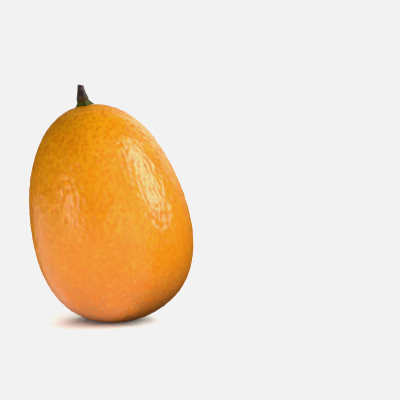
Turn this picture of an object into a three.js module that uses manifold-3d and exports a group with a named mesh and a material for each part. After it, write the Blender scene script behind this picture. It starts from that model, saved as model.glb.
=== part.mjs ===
// A whole kumquat as picked: the egg-shaped fruit, the five-lobed calyx on its stem end and the
// short woody stem above it. Millimetres, +Z up. The fruit stands on a small flat spot beside its
// blossom end, leaning a little towards -X, and the origin is the middle of that flat spot.
import * as THREE from "three";
import { mergeVertices } from "three/addons/utils/BufferGeometryUtils.js";
import Module from "manifold-3d";

const { cos, sin, PI } = Math;

// ---- Driving dimensions ----
const FRUIT_LENGTH = 40; // pole to pole, without the stem
const FRUIT_GIRTH = 28.6; // twice the radius that the egg formula starts from; the widest is 29.0
const EGG_TAPER = -0.14; // slims the stem end and fills the blossom end
const EGG_FULLNESS = 0.13; // rounds both ends out, so that they are blunter than an ellipsoid's
const LEAN = THREE.MathUtils.degToRad(13); // of the fruit's axis from upright, towards -X
const FLAT_DEPTH = 0.35; // how much of the round bottom the flat spot takes off
const SWELL = 0.05; // greatest swell and hollow of the faint ribs down the fruit
const RIBS = 5; // one over each row of segments inside

const GAP = 0.1; // clearance between pieces that touch

const CALYX_RADIUS = 1.45; // of the calyx rim, midway between lobe tips and the notches
const CALYX_LOBE = 0.36; // how far a lobe tip stands out past that, and a notch lies inside it
const CALYX_HEIGHT = 1.15;
const CALYX_RIM = 0.22; // thickness of the lobes at their edge
const SEPALS = 5;

const STEM_OFFSET = THREE.MathUtils.degToRad(0.85); // of stem and calyx from the pole, towards +X
const STEM_HEIGHT = 2.4; // above the calyx
const STEM_FOOT = 1.12; // radius where it leaves the calyx
const STEM_TIP = 0.55; // radius at the cut end
const STEM_BEND = 0.18; // sideways drift of the cut end, towards +X
const STEM_RIDGE = 0.05; // height of the ridges along the stem
const STEM_RIDGES = 5;

const FRUIT_RINGS = 36;
const FRUIT_SEGMENTS = 48;
const CALYX_SEGMENTS = 50;
const STEM_SEGMENTS = 30;

// ---- The fruit's outline in its own frame: its axis is Z, its middle is the origin ----

// Radius and height at angle t down from the stem end: 0 is the stem end, PI the blossom end.
function eggPoint(t) {
  const c = cos(t);
  const radius = (FRUIT_GIRTH / 2) * sin(t) * (1 + EGG_TAPER * c + EGG_FULLNESS * c * c);
  return new THREE.Vector2(radius, (FRUIT_LENGTH / 2) * c);
}

// Height of the crown at a small radius about the stem end, where the outline is a parabola.
function crownHeight(radius) {
  const t = radius / ((FRUIT_GIRTH / 2) * (1 + EGG_TAPER + EGG_FULLNESS));
  return (FRUIT_LENGTH / 2) * (1 - (t * t) / 2);
}

// The point of the leaning outline that comes lowest, found by halving the stretch it lies in.
function lowestPoint() {
  const depth = (t) => {
    const p = eggPoint(t);
    return p.x * sin(LEAN) - p.y * cos(LEAN);
  };
  let from = PI / 2;
  let to = PI;
  while (to - from > 1e-9) {
    const third = (to - from) / 3;
    if (depth(from + third) < depth(to - third)) from += third;
    else to -= third;
  }
  const p = eggPoint(from);
  return new THREE.Vector3(-p.x, 0, p.y);
}

// ---- Helpers ----

// Moves each vertex of a lathed geometry, given its radius, angle and height, to where move says.
function reshape(geometry, move) {
  const position = geometry.getAttribute("position");
  for (let i = 0; i < position.count; i++) {
    const x = position.getX(i);
    const y = position.getY(i);
    const [nx, ny, nz] = move(Math.hypot(x, y), Math.atan2(y, x), position.getZ(i));
    position.setXYZ(i, nx, ny, nz);
  }
  return geometry;
}

// A closed solid turned about Z from an outline of [radius, height] that runs from the top down.
function turned(outline, segments) {
  const points = outline.map((p) => new THREE.Vector2(p.x, p.y)).reverse();
  return new THREE.LatheGeometry(points, segments).rotateX(PI / 2);
}

// Position-only copy with shared vertices, which is what manifold-3d needs.
function welded(geometry) {
  const bare = new THREE.BufferGeometry();
  bare.setAttribute("position", geometry.getAttribute("position").clone());
  bare.setIndex(geometry.getIndex());
  return mergeVertices(bare, 1e-4);
}

// ---- The fruit ----

// The flat spot is cut square to the world's Z, so the cut is made on the leaning solid.
async function makeFruit(placement) {
  const outline = [];
  for (let i = 0; i <= FRUIT_RINGS; i++) outline.push(eggPoint((PI * i) / FRUIT_RINGS));
  outline[0].x = 0;
  outline[FRUIT_RINGS].x = 0;
  const egg = reshape(turned(outline, FRUIT_SEGMENTS), (radius, angle, height) => {
    const share = (2 * radius) / FRUIT_GIRTH;
    const r = radius + SWELL * cos(RIBS * angle) * share * share;
    return [r * cos(angle), r * sin(angle), height];
  }).applyMatrix4(placement);

  const wasm = await Module();
  wasm.setup();
  const solid = (geometry) => {
    const whole = welded(geometry);
    return new wasm.Manifold(
      new wasm.Mesh({
        numProp: 3,
        vertProperties: whole.getAttribute("position").array,
        triVerts: new Uint32Array(whole.getIndex().array),
      }),
    );
  };
  const block = new THREE.BoxGeometry(FRUIT_LENGTH, FRUIT_LENGTH, FRUIT_LENGTH);
  block.translate(0, 0, -FRUIT_LENGTH / 2);
  const cut = solid(egg).subtract(solid(block)).getMesh();
  const geometry = new THREE.BufferGeometry();
  geometry.setAttribute("position", new THREE.BufferAttribute(cut.vertProperties, cut.numProp));
  geometry.setIndex(new THREE.BufferAttribute(cut.triVerts, 1));
  geometry.computeVertexNormals();
  return geometry;
}

// ---- The calyx: a flared collar with five lobes that lie on the crown ----

function makeCalyx() {
  const waist = STEM_FOOT + 0.06;
  const outline = [
    new THREE.Vector2(0, CALYX_HEIGHT),
    new THREE.Vector2(waist, CALYX_HEIGHT),
    new THREE.Vector2(waist + 0.04, CALYX_HEIGHT * 0.72),
    new THREE.Vector2(waist + 0.1, CALYX_HEIGHT * 0.45),
    new THREE.Vector2((waist + CALYX_RADIUS) / 2 + 0.04, CALYX_RIM * 1.4),
    new THREE.Vector2(CALYX_RADIUS, CALYX_RIM),
    new THREE.Vector2(CALYX_RADIUS, 0),
    new THREE.Vector2(CALYX_RADIUS / 2, 0),
    new THREE.Vector2(0, 0),
  ];
  return reshape(turned(outline, CALYX_SEGMENTS), (radius, angle, height) => {
    const out = Math.max(0, radius - waist) / (CALYX_RADIUS - waist);
    const r = radius + CALYX_LOBE * cos(SEPALS * angle) * out;
    return [r * cos(angle), r * sin(angle), crownHeight(r) + GAP + height];
  });
}

// ---- The stem: a ridged, tapering stub that ends in a clean cut ----

function makeStem() {
  const side = new THREE.CubicBezierCurve(
    new THREE.Vector2(STEM_FOOT, 0),
    new THREE.Vector2(STEM_FOOT * 0.78, STEM_HEIGHT * 0.3),
    new THREE.Vector2(STEM_TIP * 1.12, STEM_HEIGHT * 0.6),
    new THREE.Vector2(STEM_TIP, STEM_HEIGHT),
  ).getPoints(10);
  const outline = [new THREE.Vector2(0, STEM_HEIGHT), ...side.reverse(), new THREE.Vector2(0, 0)];
  const foot = FRUIT_LENGTH / 2 + CALYX_HEIGHT + 2 * GAP;
  return reshape(turned(outline, STEM_SEGMENTS), (radius, angle, height) => {
    const share = radius / STEM_FOOT;
    const r = radius + STEM_RIDGE * cos(STEM_RIDGES * angle) * share;
    const rise = height / STEM_HEIGHT;
    const drift = STEM_BEND * rise * rise;
    return [r * cos(angle) + drift, r * sin(angle), foot + height];
  });
}

// ---- Assembly ----

// The fruit's own frame, leaning, with its lowest point FLAT_DEPTH under the origin.
const lowest = lowestPoint().applyAxisAngle(new THREE.Vector3(0, 1, 0), -LEAN);
const leaning = new THREE.Group();
leaning.rotation.y = -LEAN;
leaning.position.set(-lowest.x, 0, -lowest.z - FLAT_DEPTH);
leaning.updateMatrix();

const peel = new THREE.MeshStandardMaterial({ color: 0xee8a14, roughness: 0.35, metalness: 0 });
const green = new THREE.MeshStandardMaterial({ color: 0x4f6a1c, roughness: 0.6, metalness: 0 });
const bark = new THREE.MeshStandardMaterial({ color: 0x2c1a1a, roughness: 0.6, metalness: 0 });

const fruit = new THREE.Mesh(await makeFruit(leaning.matrix), peel);
fruit.name = "fruit";
const calyx = new THREE.Mesh(makeCalyx(), green);
calyx.name = "calyx";
const stem = new THREE.Mesh(makeStem(), bark);
stem.name = "stem";

const crown = new THREE.Group();
crown.rotation.y = STEM_OFFSET;
crown.add(calyx, stem);
leaning.add(crown);
const kumquat = new THREE.Group();
kumquat.add(fruit, leaning);

export default kumquat;
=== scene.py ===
import math

import bmesh
import bpy
from mathutils import Matrix, Vector, noise


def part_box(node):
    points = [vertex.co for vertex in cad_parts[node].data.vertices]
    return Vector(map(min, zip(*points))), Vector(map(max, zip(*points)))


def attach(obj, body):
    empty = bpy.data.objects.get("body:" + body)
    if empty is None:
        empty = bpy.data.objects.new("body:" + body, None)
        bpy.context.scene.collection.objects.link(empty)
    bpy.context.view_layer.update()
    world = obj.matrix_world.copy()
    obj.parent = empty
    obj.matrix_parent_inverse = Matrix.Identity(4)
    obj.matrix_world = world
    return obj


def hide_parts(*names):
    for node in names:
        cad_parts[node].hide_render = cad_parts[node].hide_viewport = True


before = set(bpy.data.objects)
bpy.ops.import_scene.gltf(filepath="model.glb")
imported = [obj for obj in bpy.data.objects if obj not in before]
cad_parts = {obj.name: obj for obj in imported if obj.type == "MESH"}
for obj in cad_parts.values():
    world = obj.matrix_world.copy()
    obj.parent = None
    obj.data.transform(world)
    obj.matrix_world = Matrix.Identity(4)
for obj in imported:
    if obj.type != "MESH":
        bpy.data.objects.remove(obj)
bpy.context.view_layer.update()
MM = 0.001


# ---- The fruit ----
# An egg-shaped kumquat grown in one piece: a glossy, waxy orange peel over juicy flesh. Oil glands
# pit the peel all over, and it runs in faint ribs from the stem end to the blossom end. The fruit
# stands on a small flat spot beside the blossom end, so its stem end leans to one side.

LEAN = math.radians(13)  # of the fruit's axis from upright, towards -X
SLENDERNESS = 1.381  # length from pole to pole over girth
TAPER = -0.14  # slims the stem end and fills the blossom end
FULLNESS = 0.13  # rounds both ends out, blunter than an ellipsoid's
RIBS = 5
RIB_SWELL = 0.05 * MM
CUTS = 127  # across each face of the cube that the peel is rounded from

GLAND_SPACING = 0.80 * MM
GLAND_REACH = 0.54  # radius of a pit, in spacings
GLAND_DEPTH = 0.060 * MM
RIPPLE_LENGTH = 0.70 * MM  # of the waviness between the pits
RIPPLE_STRETCH = 1.8  # how much longer the ripples are along the fruit than around it
RIPPLE_HEIGHT = 0.085 * MM
DENT_LENGTH = 9 * MM  # of the broad unevenness of a grown fruit
DENT_HEIGHT = 0.09 * MM
PUCKER_REACH = 3.4 * MM  # radius of the creased hollow that the calyx sits in
PUCKER_CREASES = 10
PUCKER_DEPTH = 0.07 * MM
SCAR_REACH = 1.5 * MM  # radius of the hollow round the dry point at the blossom end
SCAR_DEPTH = 0.25 * MM
FLAT_BLEND = 0.10 * MM  # over which the round underside turns into the flat spot

fruit_low, fruit_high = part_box("fruit")


def swell(height):
    """Radius of the egg's outline, as a share of a sphere's, at a height from -1 to 1."""
    return 1 + TAPER * height + FULLNESS * height * height


fullest = max(math.sin(t) * swell(math.cos(t)) for t in (math.pi * i / 360 for i in range(360)))
egg_radius = (fruit_high.y - fruit_low.y) / 2 / fullest
egg_half = egg_radius * fullest * SLENDERNESS


def on_egg(direction):
    """The point of the smooth egg, in the fruit's own frame, that a unit vector points to."""
    share = direction.xy.length * swell(direction.z)
    rib = RIB_SWELL * math.cos(RIBS * math.atan2(direction.y, direction.x)) * share * share
    out = egg_radius * swell(direction.z) + rib
    return Vector((direction.x * out, direction.y * out, direction.z * egg_half))


def fade(distance, reach):
    """1 at no distance, falling smoothly to 0 at the reach."""
    left = max(0.0, 1 - distance / reach)
    return left * left * (3 - 2 * left)


def relief(point):
    """How far the peel's surface stands off the smooth egg, and how much of a gland is there."""
    pit = fade(noise.voronoi(point / GLAND_SPACING)[0][0], GLAND_REACH)
    drawn = Vector((point.x, point.y, point.z / RIPPLE_STRETCH)) / RIPPLE_LENGTH
    height = RIPPLE_HEIGHT * noise.noise(drawn) + DENT_HEIGHT * noise.noise(point / DENT_LENGTH)
    height -= GLAND_DEPTH * pit
    off_axis = point.xy.length
    if point.z > 0:
        crease = 0.6 + 0.4 * math.cos(PUCKER_CREASES * math.atan2(point.y, point.x))
        height -= PUCKER_DEPTH * fade(off_axis, PUCKER_REACH) * crease
    else:
        height -= SCAR_DEPTH * fade(off_axis, SCAR_REACH)
    return height, pit


egg = bmesh.new()
bmesh.ops.create_cube(egg, size=2)
bmesh.ops.subdivide_edges(egg, edges=egg.edges[:], cuts=CUTS, use_grid_fill=True)
for vert in egg.verts:
    even = Vector([math.tan(c * math.pi / 4) for c in vert.co])
    vert.co = on_egg(even.normalized())
egg.normal_update()
gland_layer = egg.verts.layers.float.new("gland")
scar_layer = egg.verts.layers.float.new("scar")
for vert in egg.verts:
    height, vert[gland_layer] = relief(vert.co)
    vert[scar_layer] = fade(vert.co.xy.length, SCAR_REACH) if vert.co.z < 0 else 0.0
    vert.co += vert.normal * height

# The egg leans, meets the sides and top of its place in the frame, and is pressed flat below.
leaning = Matrix.Rotation(-LEAN, 4, "Y")
smooth = [leaning @ on_egg(Vector((math.sin(t), 0, math.cos(t))))
          for t in (math.tau * i / 720 for i in range(720))]
shift = Vector((
    (fruit_low.x + fruit_high.x - min(p.x for p in smooth) - max(p.x for p in smooth)) / 2,
    0,
    fruit_high.z - max(p.z for p in smooth),
))
stand = Matrix.Translation(shift) @ leaning
bmesh.ops.transform(egg, matrix=stand, verts=egg.verts[:])
for vert in egg.verts:
    above = vert.co.z - fruit_low.z
    overlap = max(0.0, 1 - abs(above) / FLAT_BLEND)
    vert.co.z = fruit_low.z + max(above, 0) + overlap * overlap * FLAT_BLEND / 4


def finished(name, mesh_data, node, material):
    """Makes a bmesh the smooth-shaded piece of that name, which stands for a node of the frame."""
    mesh = bpy.data.meshes.new(name)
    mesh_data.to_mesh(mesh)
    mesh_data.free()
    mesh.shade_smooth()
    mesh.materials.append(material)
    piece = bpy.data.objects.new(name, mesh)
    bpy.context.scene.collection.objects.link(piece)
    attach(piece, "root")
    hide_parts(node)


def blank_material(name):
    """A material with its principled shader, and a way to add nodes whose inputs are given."""
    material = bpy.data.materials.new(name)
    material.use_nodes = True
    tree = material.node_tree

    def add(kind, inputs, **settings):
        node = tree.nodes.new(kind)
        for key, value in settings.items():
            setattr(node, key, value)
        for key, value in inputs.items():
            if isinstance(value, bpy.types.NodeSocket):
                tree.links.new(value, node.inputs[key])
            else:
                node.inputs[key].default_value = value
        return node

    return material, tree.nodes["Principled BSDF"], add


def mixed(add, amount, first, second):
    """Colour socket that goes from the first colour to the second as the amount goes to 1."""
    # The node's colour sockets share their names with its other ones, so they go by number.
    return add("ShaderNodeMix", {0: amount, 6: first, 7: second}, data_type="RGBA").outputs[2]


def ramped(add, value, low, high, most=1.0):
    """Socket that runs from 0 to the most as the value runs from low to high."""
    ramp = add("ShaderNodeMapRange",
               {"Value": value, "From Min": low, "From Max": high, "To Max": most})
    return ramp.outputs["Result"]


peel, peel_shader, add = blank_material("waxy_orange_peel")
place = add("ShaderNodeTexCoord", {}).outputs["Object"]
parts = add("ShaderNodeSeparateXYZ", {"Vector": place})
gland = add("ShaderNodeAttribute", {}, attribute_name="gland").outputs["Fac"]
scar = add("ShaderNodeAttribute", {}, attribute_name="scar").outputs["Fac"]
cloud = add("ShaderNodeTexNoise", {"Vector": place, "Scale": 220, "Detail": 2}).outputs["Fac"]
grain = add("ShaderNodeTexNoise", {"Vector": place, "Scale": 1500, "Detail": 2}).outputs["Fac"]
TOP_PAINTED_LIGHT_GOLD = (0.93, 0.375, 0.001, 1)
ORANGE = (0.79, 0.290, 0.003, 1)
LOWER_PAINTED_SHADE_ROSE = (0.72, 0.200, 0.012, 1)
AMBER = (0.80, 0.198, 0.002, 1)
UNDERSIDE_PAINTED_SHADE_AND_REFLECTION = (0.50, 0.170, 0.055, 1)
YELLOW = (0.88, 0.430, 0.020, 1)
TAN = (0.30, 0.16, 0.06, 1)
height_up = ramped(add, parts.outputs["Z"], fruit_low.z, fruit_high.z)
# Painted shade: the lower half of the peel is painted darker and redder, as shade below the
# fruit's middle.
colour = mixed(add, ramped(add, height_up, 0.0, 0.5), LOWER_PAINTED_SHADE_ROSE, ORANGE)
# Painted shade and painted reflection: the underside is painted darker and pinkish, as shade under
# the fruit and the pale table reflected in it.
colour = mixed(add, ramped(add, height_up, 0.30, 0.0, 0.9), colour, UNDERSIDE_PAINTED_SHADE_AND_REFLECTION)
# Painted light: the peel is painted lighter and yellower towards the top, as light falling on it
# from above.
colour = mixed(add, ramped(add, height_up, 0.5, 0.95), colour, TOP_PAINTED_LIGHT_GOLD)
colour = mixed(add, ramped(add, cloud, 0.45, 0.75, 0.5), colour, AMBER)
colour = mixed(add, ramped(add, grain, 0.50, 0.25, 0.6), colour, AMBER)
colour = mixed(add, ramped(add, grain, 0.50, 0.75, 0.4), colour, YELLOW)
colour = mixed(add, ramped(add, gland, 0.0, 0.9, 0.9), colour, AMBER)
colour = mixed(add, ramped(add, scar, 0.5, 0.9), colour, TAN)
peel.node_tree.links.new(colour, peel_shader.inputs["Base Color"])
peel_shader.inputs["Roughness"].default_value = 0.26
peel_shader.inputs["Specular IOR Level"].default_value = 0.22
peel_shader.inputs["Subsurface Weight"].default_value = 0.10
peel_shader.inputs["Subsurface Radius"].default_value = (1.0, 0.35, 0.1)
peel_shader.inputs["Subsurface Scale"].default_value = 1.2 * MM
finished("kumquat_fruit", egg, "fruit", peel)


# ---- The calyx ----
# Five little pointed sepals grown together into a collar, of matt green leaf tissue that turns
# brown towards the stem. It has grown onto the crown of the fruit, and its tips lie on the peel.

SEPALS = 5
CALYX_SEGMENTS = 100
COLLAR_RADIUS = 1.16 * MM
NOTCH_RADIUS = 1.20 * MM
CALYX_HEIGHT = 1.20 * MM
SEPAL_THICKNESS = 0.16 * MM
OFF_POLE = math.radians(0.85)  # round the crown from the fruit's pole, towards +X

calyx_low, calyx_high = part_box("calyx")
sepal_reach = (calyx_high.y - calyx_low.y) / 2 / math.sin(math.tau / SEPALS)


def crown(radius):
    """Height of the peel at a small radius about the stem end, in the fruit's own frame."""
    t = radius / (egg_radius * swell(1))
    return egg_half * (1 - t * t / 2)


def lathe(profile, segments):
    """A closed form spun about Z from a line of (radius, height) points that ends on the axis."""
    form = bmesh.new()
    line = [form.verts.new((radius, 0, height)) for radius, height in profile]
    edges = [form.edges.new(pair) for pair in zip(line, line[1:])]
    bmesh.ops.spin(form, geom=line + edges, axis=(0, 0, 1), cent=(0, 0, 0),
                   angle=math.tau, steps=segments, use_merge=True)
    bmesh.ops.remove_doubles(form, verts=form.verts[:], dist=1e-6)
    bmesh.ops.recalc_face_normals(form, faces=form.faces[:])
    return form


collar = lathe([
    (0, 0),
    (NOTCH_RADIUS * 0.5, 0),
    (NOTCH_RADIUS * 0.8, 0),
    (NOTCH_RADIUS, 0),
    (NOTCH_RADIUS * 1.03, SEPAL_THICKNESS * 0.5),
    (NOTCH_RADIUS * 1.01, SEPAL_THICKNESS),
    (COLLAR_RADIUS * 0.99, SEPAL_THICKNESS * 2.2),
    (COLLAR_RADIUS * 0.97, CALYX_HEIGHT * 0.5),
    (COLLAR_RADIUS * 0.94, CALYX_HEIGHT * 0.75),
    (COLLAR_RADIUS * 0.90, CALYX_HEIGHT),
    (0, CALYX_HEIGHT),
], CALYX_SEGMENTS)
along_layer = collar.verts.layers.float.new("along")
for vert in collar.verts:
    angle = math.atan2(vert.co.y, vert.co.x)
    turn = (angle / math.tau * SEPALS) % 1
    point = abs(2 * turn - 1) ** 1.5
    low = fade(vert.co.z, CALYX_HEIGHT * 0.8)
    out = max(0, vert.co.xy.length / NOTCH_RADIUS - 0.4) / 0.6
    stretch = 1 + (sepal_reach / NOTCH_RADIUS - 1) * point * low * out
    vert[along_layer] = vert.co.z / CALYX_HEIGHT
    vert.co.x *= stretch
    vert.co.y *= stretch
    vert.co.z += crown(vert.co.xy.length)
seat = stand @ Matrix.Rotation(OFF_POLE, 4, "Y")
bmesh.ops.transform(collar, matrix=seat, verts=collar.verts[:])

calyx, calyx_shader, add = blank_material("calyx_leaf_green")
along = add("ShaderNodeAttribute", {}, attribute_name="along").outputs["Fac"]
place = add("ShaderNodeTexCoord", {}).outputs["Object"]
mottle = add("ShaderNodeTexNoise", {"Vector": place, "Scale": 1500, "Detail": 3})
GREEN = (0.040, 0.098, 0.000, 1)
TEAL = (0.045, 0.090, 0.012, 1)
BROWN = (0.058, 0.027, 0.000, 1)
colour = mixed(add, ramped(add, along, 0.0, 0.25), TEAL, GREEN)
colour = mixed(add, ramped(add, along, 0.30, 0.75), colour, BROWN)
colour = mixed(add, ramped(add, mottle.outputs["Fac"], 0.45, 0.8), colour, BROWN)
calyx.node_tree.links.new(colour, calyx_shader.inputs["Base Color"])
calyx_shader.inputs["Roughness"].default_value = 0.55
calyx_shader.inputs["Specular IOR Level"].default_value = 0.08
finished("kumquat_calyx", collar, "calyx", calyx)


# ---- The stem ----
# A short stub of the twig that the fruit hung from, of dark purplish brown bark in ridges. It
# grows out of the calyx, bends back a little from the fruit's lean and narrows to a rounded,
# sloping cut.

STEM_SEGMENTS = 72
STEM_RINGS = 24  # between the foot and the rounded edge of the cut end
STEM_HEIGHT = 2.50 * MM
STEM_ROOT = 0.1 * MM  # how deep its foot is sunk into the calyx
STEM_FOOT = 1.06 * MM  # radius where it leaves the calyx
STEM_TIP = 0.52 * MM  # radius at the cut end
STEM_BEND = 0.18 * MM  # sideways drift of the cut end, towards +X
CUT_SLOPE = 0.3  # of the cut end, down towards +X
STEM_RIDGES = 6
RIDGE_HEIGHT = 0.045 * MM
RIDGE_ROUGHNESS = 1.6  # share of the ridges' height that uneven growth adds
ROUGHNESS_AROUND = 3  # how many bumps of uneven growth go round the stem, roughly
ROUGHNESS_ALONG = 1.2  # and how many lie along it

profile = [(0, -STEM_ROOT), (STEM_FOOT, -STEM_ROOT)]
for i in range(STEM_RINGS):
    rise = i / STEM_RINGS
    profile.append((STEM_TIP + (STEM_FOOT - STEM_TIP) * (1 - rise) ** 1.5, STEM_HEIGHT * rise))
profile += [
    (STEM_TIP * 0.96, STEM_HEIGHT * 0.985),
    (STEM_TIP * 0.84, STEM_HEIGHT * 1.005),
    (STEM_TIP * 0.66, STEM_HEIGHT * 1.020),
    (STEM_TIP * 0.40, STEM_HEIGHT * 1.030),
    (STEM_TIP * 0.20, STEM_HEIGHT * 1.020),
    (0, STEM_HEIGHT * 1.015),
]
stub = lathe(profile, STEM_SEGMENTS)
along_layer = stub.verts.layers.float.new("along")
foot = crown(0) + CALYX_HEIGHT
for vert in stub.verts:
    rise = vert.co.z / STEM_HEIGHT
    angle = math.atan2(vert.co.y, vert.co.x)
    rough = noise.noise(Vector((math.cos(angle) * ROUGHNESS_AROUND,
                                math.sin(angle) * ROUGHNESS_AROUND,
                                rise * ROUGHNESS_ALONG)))
    ridge = math.cos(STEM_RIDGES * angle) + rough * RIDGE_ROUGHNESS
    stretch = 1 + RIDGE_HEIGHT / STEM_FOOT * ridge
    vert[along_layer] = rise
    vert.co.x = vert.co.x * stretch + STEM_BEND * rise * rise
    vert.co.y *= stretch
    vert.co.z += foot - CUT_SLOPE * vert.co.x * max(0, rise) ** 6
bmesh.ops.transform(stub, matrix=seat, verts=stub.verts[:])

bark, bark_shader, add = blank_material("dark_twig_bark")
along = add("ShaderNodeAttribute", {}, attribute_name="along").outputs["Fac"]
place = add("ShaderNodeTexCoord", {}).outputs["Object"]
drawn = add("ShaderNodeMapping", {"Vector": place, "Scale": (1, 1, 0.12)}).outputs["Vector"]
streak = add("ShaderNodeTexNoise", {"Vector": drawn, "Scale": 4000, "Detail": 4})
UMBER = (0.018, 0.006, 0.007, 1)
GREY = (0.16, 0.12, 0.13, 1)
OLIVE = (0.055, 0.028, 0.003, 1)
PLUM = (0.070, 0.018, 0.035, 1)
colour = mixed(add, ramped(add, streak.outputs["Fac"], 0.54, 0.85), UMBER, GREY)
colour = mixed(add, ramped(add, along, 0.25, 0.0), colour, OLIVE)
colour = mixed(add, ramped(add, along, 0.9, 1.0), colour, PLUM)
bark.node_tree.links.new(colour, bark_shader.inputs["Base Color"])
bark_shader.inputs["Roughness"].default_value = 0.38
bark_shader.inputs["Specular IOR Level"].default_value = 0.25
finished("kumquat_stem", stub, "stem", bark)


# ---- The table ----
# A round, matt white table top, wide enough to fill the view. It is in two halves so that the far
# one can be kept from shining on the fruit, which would pale the peel's right and back sides.

TABLE_RADIUS = 0.6
TABLE_SPLIT = -0.0049  # of the line between the halves, measured from the fruit's foot
SPLIT_ANGLE = math.radians(55)  # of the way from the near half to the far half, from +X to +Y

white, white_shader, _ = blank_material("matt_white")
white_shader.inputs["Base Color"].default_value = (0.8, 0.8, 0.8, 1)
white_shader.inputs["Roughness"].default_value = 0.9
white_shader.inputs["Specular IOR Level"].default_value = 0.2

to_far_half = Vector((math.cos(SPLIT_ANGLE), math.sin(SPLIT_ANGLE), 0))


def table_half(name, side):
    """The part of the round table top on that side of a line that passes near the fruit's foot."""
    disc = bmesh.new()
    bmesh.ops.create_circle(disc, cap_ends=True, radius=TABLE_RADIUS, segments=96)
    bmesh.ops.bisect_plane(disc, geom=disc.verts[:] + disc.edges[:] + disc.faces[:],
                           plane_co=to_far_half * TABLE_SPLIT, plane_no=side, clear_inner=True)
    mesh = bpy.data.meshes.new(name)
    disc.to_mesh(mesh)
    disc.free()
    mesh.materials.append(white)
    half = bpy.data.objects.new(name, mesh)
    bpy.context.scene.collection.objects.link(half)
    return half


near_half = table_half("table_near", -to_far_half)
far_half = table_half("table_far", to_far_half)
far_half.visible_diffuse = False
far_half.visible_glossy = False


# ---- The lights ----
# Softboxes on the right, on the left, behind and in front, of which some only light the fruit and
# some only gleam in it. The table has two wide soft lights of its own from above, one of them
# without a shadow. The room is dim and warm, and white where the camera sees it.

TABLE_LIGHT_SPREAD = math.radians(120)
ROOM_COLOUR = (0.07, 0.05, 0.02, 1)
BACKDROP_COLOUR = (1, 1, 1, 1)
BACKDROP_STRENGTH = 1.1

middle = (fruit_low + fruit_high) / 2


def softbox(name, azimuth, elevation, distance, width, height, colour, glow, gleam):
    """A rectangular light that faces the fruit. Azimuth 0 is on the camera's side, 90 at +X.

    Glow is how brightly it lights things, gleam how brightly it shows in a glossy surface. Each
    is a lamp of its own, and one that is 0 is left out.
    """
    a, e = math.radians(azimuth), math.radians(elevation)
    away = Vector((math.sin(a) * math.cos(e), -math.cos(a) * math.cos(e), math.sin(e)))
    for part, radiance in (("glow", glow), ("gleam", gleam)):
        if not radiance:
            continue
        light = bpy.data.lights.new(f"{name}_{part}", "AREA")
        light.shape = "RECTANGLE"
        light.size = width
        light.size_y = height
        light.color = colour
        light.energy = radiance * math.pi * width * height
        lamp = bpy.data.objects.new(f"{name}_{part}", light)
        lamp.matrix_world = (Matrix.Translation(middle + away * distance)
                             @ away.to_track_quat("Z", "Y").to_matrix().to_4x4())
        lamp.visible_camera = False
        lamp.visible_diffuse = part == "glow"
        lamp.visible_glossy = part == "gleam"
        bpy.context.scene.collection.objects.link(lamp)


softbox("right_softbox", 82, 31, 0.5, 0.24, 0.36, (1.0, 0.94, 0.84), glow=7.6, gleam=21.0)
softbox("left_softbox", -50, 4, 0.5, 0.12, 0.16, (1.0, 0.80, 0.72), glow=0.0, gleam=20.0)
softbox("back_right_softbox", 158, 20, 0.6, 0.25, 0.30, (1.0, 0.93, 0.82), glow=1.0, gleam=18.0)
softbox("back_fill", 186, 32, 0.6, 0.36, 0.36, (1.0, 0.95, 0.85), glow=5.5, gleam=1.5)
softbox("front_fill", 25, 40, 0.5, 0.40, 0.40, (1.0, 0.97, 0.92), glow=2.6, gleam=0.0)
softbox("front_sheen", 28, 6, 0.5, 0.48, 0.20, (1.0, 0.95, 0.90), glow=0.0, gleam=3.2)

table_only = bpy.data.collections.new("table_only")
table_only.objects.link(near_half)
table_only.objects.link(far_half)
for name, energy, casts_shadow in (("table_light", 1.6, True), ("table_fill", 2.0, False)):
    overhead = bpy.data.lights.new(name, "SUN")
    overhead.energy = energy
    overhead.angle = TABLE_LIGHT_SPREAD
    overhead.use_shadow = casts_shadow
    lamp = bpy.data.objects.new(name, overhead)
    lamp.light_linking.receiver_collection = table_only
    bpy.context.scene.collection.objects.link(lamp)

world = bpy.data.worlds.new("studio")
world.use_nodes = True
room = world.node_tree
room.nodes["Background"].inputs["Color"].default_value = ROOM_COLOUR
seen = room.nodes.new("ShaderNodeBackground")
seen.inputs["Color"].default_value = BACKDROP_COLOUR
seen.inputs["Strength"].default_value = BACKDROP_STRENGTH
ray = room.nodes.new("ShaderNodeLightPath")
either = room.nodes.new("ShaderNodeMixShader")
room.links.new(ray.outputs["Is Camera Ray"], either.inputs[0])
room.links.new(room.nodes["Background"].outputs[0], either.inputs[1])
room.links.new(seen.outputs[0], either.inputs[2])
room.links.new(either.outputs[0], room.nodes["World Output"].inputs["Surface"])
bpy.context.scene.world = world


# ---- The camera ----
# A long lens that looks slightly down, aimed to the right of the fruit and at half its height.
# White is held just under full white, as in a high-key print.

CAMERA_ELEVATION = math.radians(5.5)
CAMERA_DISTANCE = 0.2715
LENS = 133.7
AIM_RIGHT = 0.01585  # of the spot that the fruit stands on
AIM_UP = 0.02183
WHITE_LEVEL = 0.887

back = Vector((0, -math.cos(CAMERA_ELEVATION), math.sin(CAMERA_ELEVATION)))
up = Vector((0, math.sin(CAMERA_ELEVATION), math.cos(CAMERA_ELEVATION)))
camera_data = bpy.data.cameras.new("camera")
camera_data.lens = LENS
camera_data.clip_start = 0.01
camera = bpy.data.objects.new("camera", camera_data)
camera.location = Vector((AIM_RIGHT, 0, 0)) + up * AIM_UP + back * CAMERA_DISTANCE
camera.rotation_euler = (math.pi / 2 - CAMERA_ELEVATION, 0, 0)
bpy.context.scene.collection.objects.link(camera)
bpy.context.scene.camera = camera

look = bpy.context.scene.view_settings
look.view_transform = "Standard"
look.use_curve_mapping = True
look.curve_mapping.extend = "HORIZONTAL"
all_channels = look.curve_mapping.curves[3]
all_channels.points[1].location = (1, WHITE_LEVEL)
look.curve_mapping.update()
